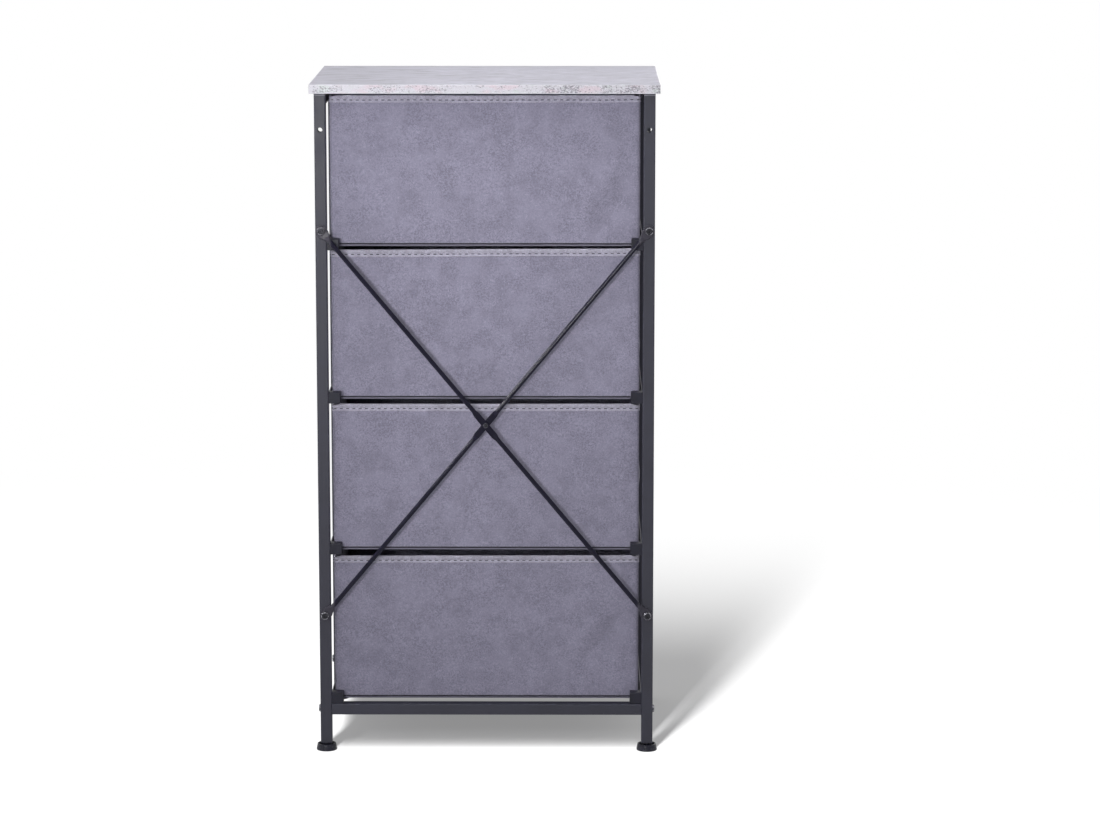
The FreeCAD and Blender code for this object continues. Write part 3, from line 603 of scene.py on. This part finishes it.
FRAME_COAT = (linear(47, 47, 58), 0.42, 0.05 * MM, 0.28)    # powder_coat's colour to specular
BRACE_COAT = (linear(22, 20, 36), 0.11, 0.01 * MM, 0.12)
BRACE_TABS = 200 * MM           # where the flat tabs of the rods begin, from the middle
BOARD_LOW, BOARD_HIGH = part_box("top_board")
MATERIALS = {
    "stone_laminate": stone_laminate(BOARD_LOW.z, BOARD_HIGH.z),
    "frame_black": powder_coat("frame_powder_coat", *FRAME_COAT),
    "brace_black": powder_coat("brace_powder_coat", *BRACE_COAT, pressed=BRACE_TABS),
    # Screw heads: pale rounded edges, partly wear, partly a painted highlight.
    "screw_black": black_oxide("black_oxide_steel", linear(182, 181, 190)),
    "zinc_steel": zinc_plate(),
    "plastic_black": moulded_plastic(),
    "hardboard": hardboard(),
    "drawer_fabric": drawer_fabric(),
    "pull_webbing": pull_webbing(),
}
UPRIGHT = powder_coat("upright_powder_coat", *FRAME_COAT, cut_edge=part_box("upright_rear_left")[1].z)
# The rivet's rim is painted grey: partly wear, partly a painted highlight.
RIVET = black_oxide("painted_rivet_steel", linear(98, 97, 108))
HEM = hem_fabric()
SLEEVE = sleeve_fabric()
SEWN = sewing_thread()


def dress_cad_nodes():
    """The CAD pieces keep their shape, and most get the material of their packed slot."""
    special = {f"upright_{end}_{side}": UPRIGHT for end in ENDS for side in SIDES}
    special["brace_centre_rivet"] = RIVET
    for name, node in NODES.items():
        for index, packed in enumerate(node.data.materials):
            of_slot = MATERIALS[packed.name.split(".")[0]]
            node.data.materials[index] = special.get(name, of_slot)
        if name.startswith("rail_") or (name.endswith("_board") and name != "top_board"):
            bevel = node.modifiers.new("edge", "BEVEL")
            bevel.width = SOFT_EDGE
            bevel.segments = 2
            bevel.limit_method = "ANGLE"


# ---------------- drawer bins

Station = namedtuple("Station", "x y out_x out_y run wall along edge")


def outline(low, high, radius, step):
    """Points round a rounded rectangle, anticlockwise from above, and its whole length."""
    stations = []
    run = 0.0
    sides = (("front", low.x + radius, low.y, 1, 0), ("right", high.x, low.y + radius, 0, 1),
             ("rear", high.x - radius, high.y, -1, 0), ("left", low.x, high.y - radius, 0, -1))
    for turns, (wall, x, y, go_x, go_y) in enumerate(sides):
        angle = 90 * turns - 90
        length = (high.x - low.x if go_x else high.y - low.y) - 2 * radius
        out_x, out_y = math.cos(math.radians(angle)), math.sin(math.radians(angle))
        count = math.ceil(length / step)
        for index in range(count):
            gone = length * index / count
            here_x, here_y = x + go_x * gone, y + go_y * gone
            along = here_x if go_x else here_y
            stations.append(Station(here_x, here_y, out_x, out_y, run + gone, wall, along,
                                    min(gone, length - gone)))
        run += length
        centre_x = x + go_x * length - out_x * radius
        centre_y = y + go_y * length - out_y * radius
        quarter = radius * math.pi / 2
        for index in range(CORNER_STEPS):
            turn = math.radians(angle + 90 * index / CORNER_STEPS)
            cosine, sine = math.cos(turn), math.sin(turn)
            gone = quarter * index / CORNER_STEPS
            stations.append(Station(centre_x + radius * cosine, centre_y + radius * sine,
                                    cosine, sine, run + gone, wall, 0.0, 0.0))
        run += quarter
    return stations, run


# Folds seen in the rear walls: start, end, rise and width, in mm from the middle and the underside
REAR_FOLDS = {
    1: (((-182, 117), (-136, 58), 1.7, 13), ((-181, 84), (-150, 20), -1.5, 12),
        ((108, 70), (106, 60), -0.7, 16), ((40, 20), (150, 34), 0.5, 14)),
    2: (((-150, 30), (-190, 70), -0.9, 34), ((60, 120), (150, 138), 0.5, 22),
        ((-60, 60), (40, 48), 0.4, 20)),
    3: (((-96, 73), (-182, 79), 1.2, 9), ((154, 53), (154, 53), 1.1, 13),
        ((127, 45), (127, 45), -1.1, 12), ((-110, 110), (-175, 40), -0.9, 26)),
    4: (((-164, 102), (-137, 64), -1.5, 9), ((-150, 112), (-118, 70), 0.8, 12),
        ((-60, 90), (90, 84), 0.7, 12), ((-20, 40), (160, 48), -0.7, 15)),
}
WALL_BILLOW = {"front": 0.15 * MM, "right": 0.8 * MM, "rear": 0.7 * MM, "left": 0.8 * MM}


def loose_folds(number, wall):
    """A few soft folds for a wall that the photograph doesn't show."""
    chance = random.Random(f"drawer {number} {wall}")
    folds = []
    for _ in range(4):
        middle, height = chance.uniform(-95, 95), chance.uniform(35, 140)
        reach, lean = chance.uniform(12, 32), chance.uniform(-1.2, 1.2)
        go_x, go_z = reach * math.cos(lean), reach * math.sin(lean)
        rise = chance.choice((-1, 1)) * chance.uniform(0.5, 1.1)
        folds.append(((middle - go_x, height - go_z), (middle + go_x, height + go_z), rise,
                      chance.uniform(12, 22)))
    return folds


def fold_height(fold, along, height):
    """How far a fold lifts the fabric at a point, all in mm."""
    (x_1, z_1), (x_2, z_2), rise, width = fold
    go_x, go_z = x_2 - x_1, z_2 - z_1
    square = go_x * go_x + go_z * go_z
    t = 0.0
    if square > TINY:
        t = min(max(((along - x_1) * go_x + (height - z_1) * go_z) / square, 0.0), 1.0)
    away = math.hypot(along - x_1 - t * go_x, height - z_1 - t * go_z)
    return rise * bell(away / width)


class Bin:
    """One fabric bin: where its walls are, and how they billow and fold."""

    def __init__(self, number):
        self.number = number
        self.body = f"drawer_{number}"
        low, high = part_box(f"{self.body}_bin")
        proud = -low.x - DRAWER_HALF    # the hem's share of the box
        self.low = Vector((low.x + proud, low.y + proud, low.z))
        self.high = Vector((high.x - proud, high.y - proud, high.z))
        self.rise = high.z - low.z
        self.folds = {"rear": REAR_FOLDS[number], "front": ()}
        for wall in SIDES:
            self.folds[wall] = loose_folds(number, wall)

    def swell(self, station, height):
        """How far the fabric stands out from the flat wall."""
        if station.edge <= 0:
            return 0.0
        fade = smooth(station.edge / CORNER_FADE) * ramp(height, *FOOT_FADE)
        fade *= 1 - HEM_HOLD * ramp(height, self.rise - RIM_ZONE, self.rise - HEM_RISE)
        billow = sum(share * ripple(station.x, station.y, height, size, self.number + seed)
                     for size, share, seed in BILLOWS)
        total = WALL_BILLOW[station.wall] * billow
        for fold in self.folds[station.wall]:
            total += fold_height(fold, station.along / MM, height / MM) * MM
        return total * fade

    def sink(self, station, height):
        """How far the fabric lies too low: the rim sags, and rounds off at the corners."""
        slack = 0.5 + 0.5 * ripple(station.x, station.y, 0, SAG_SIZE, self.number + 4)
        at_left, at_right = RIM_LIFT[self.number]
        t = (station.x - self.low.x) / (self.high.x - self.low.x)
        lift = at_right + (at_left - at_right) * t
        sag = RIM_SAG * slack * smooth(station.edge / SAG_FADE) - lift * MM
        dip = CORNER_DIP * bell(station.edge / DIP_WIDTH)
        edge_low = self.rise - RIM_EDGE
        share = ramp(height, self.rise - RIM_ZONE, edge_low)
        return share * sag + dip * ramp(height, edge_low, self.rise)

    def point(self, station, out, height):
        moved = out + self.swell(station, height)
        return Vector((station.x + station.out_x * moved, station.y + station.out_y * moved,
                       self.low.z + height - self.sink(station, height)))

    def shell_rows(self):
        """(out, height) of the rows from the middle of the underside to the middle of the floor."""
        rows = [(out * MM, height * MM) for out, height in SHELL_FOOT]
        foot, top = rows[-1][1], self.rise - 1.6 * MM
        count = math.ceil((top - foot) / SHELL_STEP)
        rows += [(0.0, foot + (top - foot) * index / count) for index in range(1, count + 1)]
        rows += [(-0.5 * MM, self.rise - 0.6 * MM), (-WALL / 2, self.rise - 0.3 * MM),
                 (-WALL + 0.5 * MM, self.rise - 0.6 * MM)]
        inner_foot = BIN_FLOOR + 2 * MM
        count = math.ceil((top - inner_foot) / INNER_STEP)
        rows += [(-WALL, top + (inner_foot - top) * index / count) for index in range(count + 1)]
        rows += [(-WALL - 0.2 * MM, BIN_FLOOR + 0.8 * MM), (-WALL - 0.7 * MM, BIN_FLOOR + 0.2 * MM),
                 (-WALL - 1.2 * MM, BIN_FLOOR)]
        return rows

    def piece(self, part, made, material, slot="drawer_fabric"):
        return make_piece(f"{self.body}_{part}", made, material, self.body)

    def make_shell(self):
        stations, length = outline(self.low, self.high, CORNER, SHELL_STEP)
        rows = self.shell_rows()
        rings = [[self.point(station, out, height) for station in stations] for out, height in rows]
        along = [station.run for station in stations] + [length]
        made = skin(rings, True, along, [height for _, height in rows])
        shell = self.piece("shell", made, MATERIALS["drawer_fabric"])
        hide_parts(f"{self.body}_bin")

    def make_hem(self):
        """A folded band over the rim, outside and inside, pinched along its seam."""
        outer = [(out * MM, drop * MM) for out, drop in HEM_PROFILE]
        inner = [(-WALL - out, drop) for out, drop in reversed(outer)]
        stations, length = outline(self.low, self.high, CORNER, STITCH_PITCH / 4)
        rows = outer + [(-WALL / 2, 0.0)] + inner
        rings = []
        for out, drop in rows:
            lip = ramp(drop, *HEM_LIP)
            facing = 1 if out > -WALL / 2 else -1
            ring = []
            for station in stations:
                wave = LIP_WAVE * ripple(station.x, station.y, self.low.z, WAVE_SIZE, self.number)
                puff = HEM_PUFF * ripple(station.x, station.y, drop, PUFF_SIZE, self.number + 2)
                puff *= smooth(abs(drop - SEAM_DROP) / (2 * MM))
                ring.append(self.point(station, out + facing * puff, self.rise - drop - lip * wave))
            rings.append(ring)
        along = [station.run for station in stations] + [length]
        self.piece("hem", skin(rings, False, along, [drop for _, drop in rows]), HEM)

    def make_hem_stitches(self):
        stations, length = outline(self.low, self.high, CORNER, SHELL_STEP)
        runs = [station.run for station in stations] + [length]
        height = self.rise - SEAM_DROP
        lines = []
        for out, facing in ((STITCH_STAND, 1), (-WALL - STITCH_STAND, -1)):
            line = [self.point(station, out, height) for station in stations]
            lines.append((line + line[:1], facing))

        def at(line, run):
            """The point at that place along a line, and the number of the station before it."""
            index = bisect.bisect_right(runs, run) - 1
            t = (run - runs[index]) / (runs[index + 1] - runs[index])
            return line[index].lerp(line[index + 1], t), index

        threads = Lengths()
        for number in range(int(length / STITCH_PITCH)):
            for line, facing in lines:
                first, index = at(line, number * STITCH_PITCH + STITCH_GAP / 2)
                last, _ = at(line, (number + 1) * STITCH_PITCH - STITCH_GAP / 2)
                away = Vector((stations[index].out_x, stations[index].out_y, 0))
                threads.stitch(first, last, away * facing)
        self.piece("hem_stitches", threads.skin(), SEWN)

    def make_front_sleeve(self):
        """Fabric sewn over the stiff board inside the front, so that no bare board shows."""
        board_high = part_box(f"{self.body}_front_board")[1]
        inner_y = self.low.y + WALL
        cover = board_high.y + SLEEVE_GAP - inner_y
        half = board_high.x + SLEEVE_MARGIN
        bottom = self.low.z + BIN_FLOOR + SLEEVE_FOOT
        top = self.high.z - HEM_RISE - 1.0 * MM
        columns, rows = SLEEVE_COLUMNS, SLEEVE_ROWS

        # It runs out to the wall over 3 mm at each side and 8 mm at the top
        layers = ([], [])
        for row in range(rows):
            z = bottom + (top - bottom) * row / (rows - 1)
            head = smooth((top - z) / (8 * MM))
            for column in range(columns):
                x = -half + 2 * half * column / (columns - 1)
                side = smooth((half - abs(x)) / (3 * MM))
                quilt = SLEEVE_QUILT * ripple(x, 0, z, QUILT_SIZE, self.number + 20)
                y = inner_y + 0.1 * MM + (cover + quilt * side) * min(side, head)
                for layer, thick in zip(layers, (SLEEVE_THICK, 0.0)):
                    layer.append(Vector((x, y + thick, z)))
        size = columns * rows
        faces = []
        for row in range(rows - 1):
            for column in range(columns - 1):
                corner = row * columns + column
                quad = (corner, corner + columns, corner + columns + 1, corner + 1)
                faces.append(quad)
                faces.append(tuple(size + index for index in reversed(quad)))
        rim = list(range(columns))
        rim += [row * columns + columns - 1 for row in range(1, rows)]
        rim += [(rows - 1) * columns + column for column in reversed(range(columns - 1))]
        rim += [row * columns for row in reversed(range(1, rows - 1))]
        for corner, following in zip(rim, rim[1:] + rim[:1]):
            faces.append((corner, following, size + following, size + corner))
        sleeve = self.piece("front_sleeve", Skin(layers[0] + layers[1], faces), SLEEVE)

    def make_pull(self):
        """A strap of ribbed webbing, sewn flat at both ends and arched between them."""
        low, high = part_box(f"{self.body}_pull")
        half, rise = high.x, high.z - low.z
        middle_z = (low.z + high.z) / 2
        gap = high.y - low.y - PULL_THICK
        foot = half - PULL_END
        across = PULL_RIBS * RIB_STEPS

        def stand_off(x):
            return gap * smooth((foot - abs(x)) / PULL_SLOPE)

        rings = []
        for index in range(PULL_STEPS + 1):
            x = -half + 2 * half * index / PULL_STEPS
            slope = (stand_off(x + MM) - stand_off(x - MM)) / (2 * MM)
            lean = Vector((-slope, -1, 0)).normalized()
            tuck = 0.55 + 0.45 * smooth((half - abs(x)) / (1.2 * MM))
            droop = -PULL_DROOP * bell(x / DROOP_WIDTH)
            centre = Vector((x, high.y - stand_off(x) - PULL_THICK / 2, middle_z + droop))
            face = []
            for step in range(across + 1):
                z = rise * (step / across - 0.5)
                edge = smooth((rise / 2 - abs(z)) / (1.1 * MM))
                rib = RIB_RISE * math.cos(2 * math.pi * PULL_RIBS * step / across)
                thick = PULL_THICK / 2 * (0.25 + 0.75 * edge) + (rib - RIB_RISE) * edge
                face.append((z, thick * tuck))
            front = [centre + UP * z + lean * thick for z, thick in face]
            back = [centre + UP * z - lean * thick for z, thick in reversed(face)]
            rings.append(front + back)
        strap = self.piece("webbing_pull", skin(rings, True), MATERIALS["pull_webbing"],
                           "pull_webbing")
        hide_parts(f"{self.body}_pull")

        threads = Lengths()
        out = Vector((0, -1, 0))
        surface = high.y - PULL_THICK + 0.05 * MM
        for sign in (-1, 1):
            outer, inner = sign * (half - 2.5 * MM), sign * (foot + 2 * MM)
            upper, lower = middle_z + rise / 2 - 3 * MM, middle_z - rise / 2 + 3 * MM
            box = [Vector((x, surface, z)) for x, z in
                   ((outer, lower), (inner, lower), (inner, upper), (outer, upper))]
            threads.seam([*box, box[0], box[2]], out, *PULL_STITCHES)
            threads.seam([box[1], box[3]], out, *PULL_STITCHES)
        self.piece("pull_stitches", threads.skin(), SEWN, "pull_webbing")

    def make(self):
        self.make_shell()
        self.make_hem()
        self.make_hem_stitches()
        self.make_front_sleeve()
        self.make_pull()


# ---------------- frame details

def make_threaded_stud(corner):
    """The foot's stud, with its screw thread."""
    low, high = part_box(f"foot_{corner}_stud")
    centre, rise = (low + high) / 2, high.z - low.z
    radius = (high.x - low.x) / 2
    rows = int(rise / (THREAD_PITCH / THREAD_STEPS))
    rings = []
    for row in range(rows + 1):
        z = low.z + rise * row / rows
        ring = []
        for side in range(THREAD_SIDES):
            turn = side / THREAD_SIDES
            phase = ((z - low.z) / THREAD_PITCH - turn) % 1.0
            reach = radius - THREAD_DEPTH * (1 - abs(2 * phase - 1))
            x, y = reach * math.cos(2 * math.pi * turn), reach * math.sin(2 * math.pi * turn)
            ring.append(Vector((centre.x + x, centre.y + y, z)))
        rings.append(ring)
    stud = make_piece(f"foot_{corner}_threaded_stud", skin(rings, True), MATERIALS["zinc_steel"],
                      f"foot_{corner}")
    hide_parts(f"foot_{corner}_stud")


def weld_bead(beads, start, end, out, radius=BEAD):
    """A bead with the ripples of a hand-guided torch."""
    length = (end - start).length
    count = max(6, round(length / BEAD_STEP))
    centres, radii = [], []
    for index in range(count + 1):
        t = index / count
        place = start.lerp(end, t)
        centres.append(place + out * 0.2 * MM * ripple(*place, 3 * MM))
        ripples = 0.9 + 0.1 * math.cos(2 * math.pi * length * t / BEAD_RIPPLE)
        radii.append(radius * ripples * (0.45 + 0.55 * smooth(min(t, 1 - t) * 8)))
    beads.add(centres, out, radii)


def make_weld_beads():
    """Beads under the side top bars' ends, and on the rails where they meet the front uprights."""
    beads = Lengths()
    for side, inward in zip(SIDES, (1, -1)):
        low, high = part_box(f"side_top_bar_{side}")
        for bar_y, sign in ((low.y, -1), (high.y, 1)):
            y, z = bar_y - sign * 0.3 * MM, low.z - 0.1 * MM
            start, end = Vector((low.x + 1.5 * MM, y, z)), Vector((high.x - 1.5 * MM, y, z))
            weld_bead(beads, start, end, Vector((0, -sign, -1)).normalized())
        post_low, post_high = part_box(f"upright_front_{side}")
        x = (post_high.x if inward > 0 else post_low.x) + inward * 0.5 * MM
        for number in DRAWERS:
            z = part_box(f"rail_{number}_{side}")[1].z + 0.1 * MM
            start, end = Vector((x, post_low.y + 3 * MM, z)), Vector((x, post_high.y - 2 * MM, z))
            weld_bead(beads, start, end, Vector((inward, 0, 1)).normalized(), BEAD * 0.8)
    make_piece("frame_weld_beads", beads.skin(), MATERIALS["frame_black"], "frame")


# ---------------- studio

TARGET = Vector((0, 0, 0.45))
CAMERA_PLACE = Vector((-0.110, 4.800, 1.2734))
CAMERA_AIM = Vector((-0.0829, 0.0, 0.4289))
CAMERA_LENS = 119.07
AMBIENT = 0.36                  # light from the room, as a share of full white
FLOOR_GLOW = 0.25               # the least that the camera sees of the floor
FLOOR_REACH = 40.0
FLOOR_FADE = (0.9, 2.0)         # from the middle, where the floor passes into the white room
FLOOR_BOUNCE = (0.2, 0.2, 0.2, 1)   # the colour that it throws back on the object
FLOOR_DROP = 0.2 * MM           # keeps it clear of the feet
WHITE = (1, 1, 1, 1)

Lamp = namedtuple("Lamp", "name towards distance width height level aim spread lights_floor",
                  defaults=(TARGET, 180, False))
LAMPS = (
    Lamp("floor_key", (0.149, 0.556, 0.817), 9.0, 0.6, 8.0, 2.2, lights_floor=True),
    Lamp("side", (0.23, 0.972, 0.05), 4.0, 0.8, 0.8, 0.69, aim=Vector((0.1, 0, 0.85)), spread=37),
    Lamp("overhead", (0.1, 0.6, 1.0), 1.3, 1.2, 1.0, 0.22, aim=Vector((0, 0, 0.88))),
    Lamp("rim", (0.84, 0.15, 0.53), 4.0, 0.45, 0.45, 0.45),
    Lamp("front", (-0.35, -0.9, 0.25), 4.0, 1.5, 1.5, 0.3),
)


def make_camera():
    data = bpy.data.cameras.new("camera")
    data.lens = CAMERA_LENS
    data.clip_end = 100
    camera = bpy.data.objects.new("camera", data)
    camera.location = CAMERA_PLACE
    camera.rotation_euler = (CAMERA_AIM - CAMERA_PLACE).to_track_quat("-Z", "Y").to_euler()
    SCENE.collection.objects.link(camera)
    SCENE.camera = camera


def make_lamp(plan, floor):
    """A soft box. towards points from the aim to it, and level is the light it gives there.

    It lights either the floor alone, with the shadows of the object, or everything but the floor.
    """
    data = bpy.data.lights.new(plan.name, "AREA")
    data.shape = "ELLIPSE"
    data.size, data.size_y = plan.width, plan.height
    data.spread = math.radians(plan.spread)
    half = math.radians(plan.spread / 2)
    beam = math.sin(half) ** 2 - (half - math.sin(2 * half) / 2) / math.tan(half)
    data.energy = plan.level * beam * math.pi ** 2 * plan.distance ** 2
    lamp = bpy.data.objects.new(plan.name, data)
    direction = Vector(plan.towards).normalized()
    lamp.location = plan.aim + direction * plan.distance
    lamp.rotation_euler = direction.to_track_quat("Z", "Y").to_euler()
    SCENE.collection.objects.link(lamp)
    lit = bpy.data.collections.new(f"lit by {plan.name}")
    lit.objects.link(floor)
    lamp.light_linking.receiver_collection = lit
    state = "INCLUDE" if plan.lights_floor else "EXCLUDE"
    lit.collection_objects[0].light_linking.link_state = state


def sees_background(tree):
    """1 for rays from the camera, reflections and glass, which see a white room."""
    rays = tree.nodes.new("ShaderNodeLightPath").outputs
    total = rays["Is Camera Ray"]
    for name in ("Is Glossy Ray", "Is Transmission Ray"):
        either = tree.nodes.new("ShaderNodeMath")
        either.operation = "MAXIMUM"
        tree.links.new(total, either.inputs[0])
        tree.links.new(rays[name], either.inputs[1])
        total = either.outputs[0]
    return total


def make_world():
    world = bpy.data.worlds.new("studio")
    SCENE.world = world
    world.use_nodes = True
    tree = world.node_tree
    background = tree.nodes["Background"]
    background.inputs["Color"].default_value = WHITE
    level = tree.nodes.new("ShaderNodeMapRange")
    level.inputs["To Min"].default_value = AMBIENT
    level.inputs["To Max"].default_value = 1.0
    tree.links.new(sees_background(tree), level.inputs["Value"])
    tree.links.new(level.outputs["Result"], background.inputs["Strength"])


def make_floor():
    """A pale floor that keeps the shadow, and fades into the white room away from the object."""
    mesh = bpy.data.meshes.new("floor")
    signs = ((-1, -1), (1, -1), (1, 1), (-1, 1))
    mesh.from_pydata([(x * FLOOR_REACH, y * FLOOR_REACH, 0) for x, y in signs], [], [(0, 1, 2, 3)])
    floor = bpy.data.objects.new("floor", mesh)
    floor.location.z = -FLOOR_DROP
    SCENE.collection.objects.link(floor)

    paint = Paint("studio_floor", roughness=0.9, specular=0.0)
    seen = sees_background(paint.tree)
    pale = paint.mix(paint.noise(4 * MM, detail=2), (0.50, 0.50, 0.50, 1), (0.52, 0.52, 0.52, 1))
    paint.finish(paint.mix(seen, FLOOR_BOUNCE, pale))
    paint.put(WHITE, paint.shader.inputs["Emission Color"])
    paint.put(paint.times(seen, FLOOR_GLOW), paint.shader.inputs["Emission Strength"])
    glow = paint.add("ShaderNodeEmission", {"Color": WHITE, "Strength": 1.0}).outputs[0]
    length = paint.add("ShaderNodeVectorMath", {0: paint.place}, operation="LENGTH")
    far = paint.times(paint.span(length.outputs["Value"], *FLOOR_FADE), seen)
    blend = paint.add("ShaderNodeMixShader", {0: far, 1: paint.shader.outputs[0], 2: glow})
    paint.put(blend.outputs[0], paint.tree.nodes["Material Output"].inputs["Surface"])
    mesh.materials.append(paint.material)
    return floor


def make_studio():
    make_camera()
    make_world()
    floor = make_floor()
    for plan in LAMPS:
        make_lamp(plan, floor)
    SCENE.view_settings.view_transform = "Standard"


# ---------------- assembly

dress_cad_nodes()
for drawer in DRAWERS:
    Bin(drawer).make()
for end in ENDS:
    for side in SIDES:
        make_threaded_stud(f"{end}_{side}")
make_weld_beads()
make_studio()
